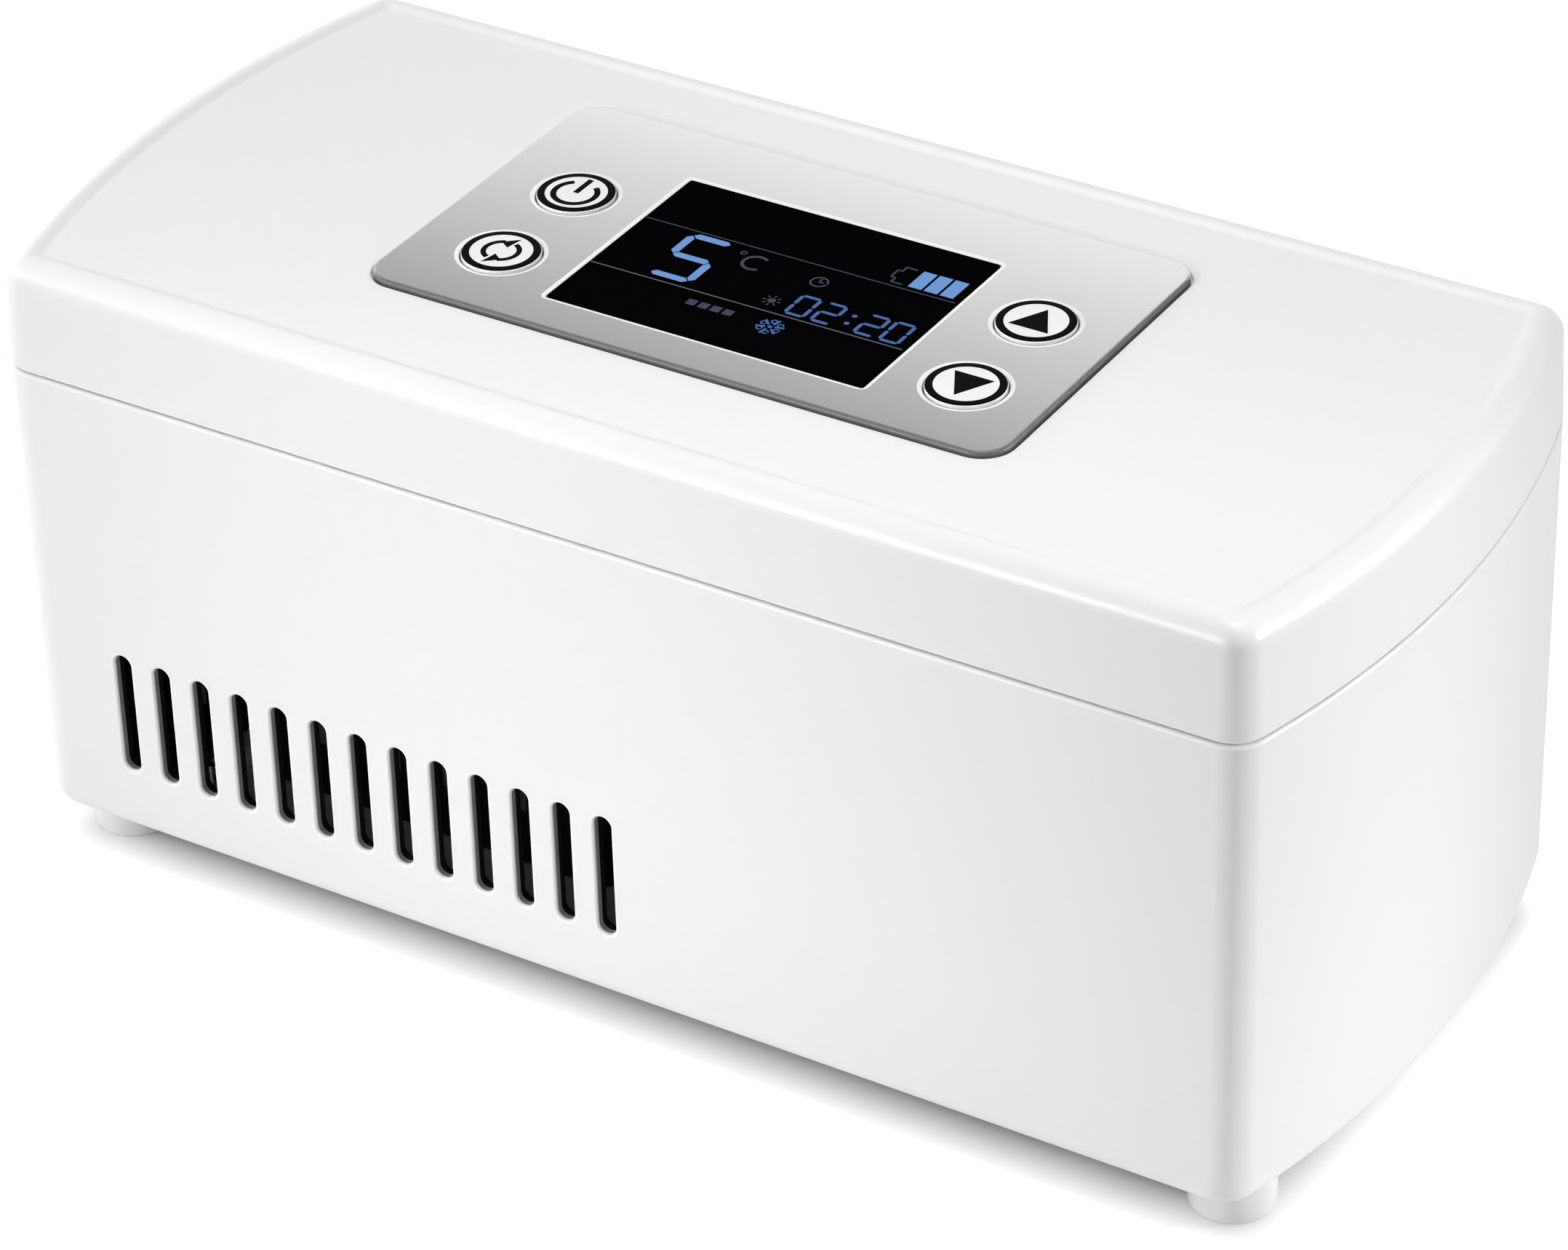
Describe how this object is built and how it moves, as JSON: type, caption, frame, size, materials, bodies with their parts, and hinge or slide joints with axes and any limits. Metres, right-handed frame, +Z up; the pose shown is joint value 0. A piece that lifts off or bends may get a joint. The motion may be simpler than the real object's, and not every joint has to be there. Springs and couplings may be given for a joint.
{
  "type": "insulin cooling case",
  "caption": "Portable cooling case for insulin pens: white box on round feet with side vents and a hinged lid that carries a silver panel with a display and push buttons.",
  "frame": {"origin": "on the floor under the middle of the case", "axes": "+X along the length, +Z up, the vented front faces -Y"},
  "size_m": [0.205, 0.0936, 0.0971],
  "materials": {
    "white_shell": "glossy moulded white",
    "white_liner": "satin moulded white",
    "pale_foot": "glossy pale grey",
    "drawn_aluminium": "satin",
    "milled_aluminium": "milled",
    "insulation_foam": "bead foam",
    "ceramic": "matt ceramic",
    "black_plastic": "matt",
    "cell_wrap": "shrink sleeve",
    "circuit_board": "solder mask",
    "lcd_frame": "satin",
    "satin_silver": "satin silver",
    "display_black": "glossy black",
    "button_white": "satin white with a black ring",
    "seal_rubber": "soft",
    "magnet_nickel": "nickel plated",
    "steel": "plain"
  },
  "bodies": {
    "case": {"case_shell": "white_shell", "base_plate": "white_shell", "deck_bezel": "white_liner", "chamber_liner": "drawn_aluminium", "chamber_insulation": "insulation_foam", "cold_plate": "milled_aluminium", "peltier_module": "ceramic", "heat_sink": "milled_aluminium", "clamp_screw_1": "steel", "clamp_screw_2": "steel", "fan_frame": "black_plastic", "battery_holder": "black_plastic", "battery_cell_1": "cell_wrap", "battery_cell_2": "cell_wrap", "battery_cell_3": "cell_wrap", "power_board": "circuit_board", "power_inlet": "black_plastic", "temperature_sensor": "steel", "hinge_pin_left": "steel", "hinge_pin_right": "steel", "case_magnet_left": "magnet_nickel", "case_magnet_right": "magnet_nickel", "foot_front_left": "pale_foot", "foot_front_right": "pale_foot", "foot_rear_left": "pale_foot", "foot_rear_right": "pale_foot", "base_screw_front_left": "steel", "base_screw_front_right": "steel", "base_screw_rear_left": "steel", "base_screw_rear_right": "steel", "fan_screw_front_left": "steel", "fan_screw_front_right": "steel", "fan_screw_rear_left": "steel", "fan_screw_rear_right": "steel"},
    "lid": {"lid_cover": "white_shell", "control_panel": "satin_silver", "display_window": "display_black", "lcd_module": "lcd_frame", "control_board": "circuit_board", "tact_switch_power": "black_plastic", "tact_switch_mode": "black_plastic", "tact_switch_up": "black_plastic", "tact_switch_down": "black_plastic", "lid_liner": "white_liner", "lid_foam": "insulation_foam", "lid_gasket": "seal_rubber", "lid_screw_front_left": "steel", "lid_screw_front_right": "steel", "lid_screw_rear_left": "steel", "lid_screw_rear_right": "steel", "lid_magnet_left": "magnet_nickel", "lid_magnet_right": "magnet_nickel"},
    "fan": {"fan_rotor": "black_plastic"},
    "power_key": {"button_power": "button_white"},
    "mode_key": {"button_mode": "button_white"},
    "up_key": {"button_up": "button_white"},
    "down_key": {"button_down": "button_white"}
  },
  "joints": [
    {"name": "lid_hinge", "type": "hinge", "parent": "case", "child": "lid", "pos_m": [0, 0.0446, 0.0799], "axis": [-1, 0, 0], "range_deg": [0, 95]},
    {"name": "fan_spin", "type": "hinge", "parent": "case", "child": "fan", "pos_m": [-0.04, 0, 0.0186], "axis": [0, 0, 1], "continuous": true},
    {"name": "button_power_press", "type": "slide", "parent": "lid", "child": "power_key", "axis": [0, 0, -1], "range_m": [0, 0.0006], "stiffness_N_per_m": 400},
    {"name": "button_mode_press", "type": "slide", "parent": "lid", "child": "mode_key", "axis": [0, 0, -1], "range_m": [0, 0.0006], "stiffness_N_per_m": 400},
    {"name": "button_up_press", "type": "slide", "parent": "lid", "child": "up_key", "axis": [0, 0, -1], "range_m": [0, 0.0006], "stiffness_N_per_m": 400},
    {"name": "button_down_press", "type": "slide", "parent": "lid", "child": "down_key", "axis": [0, 0, -1], "range_m": [0, 0.0006], "stiffness_N_per_m": 400}
  ]
}
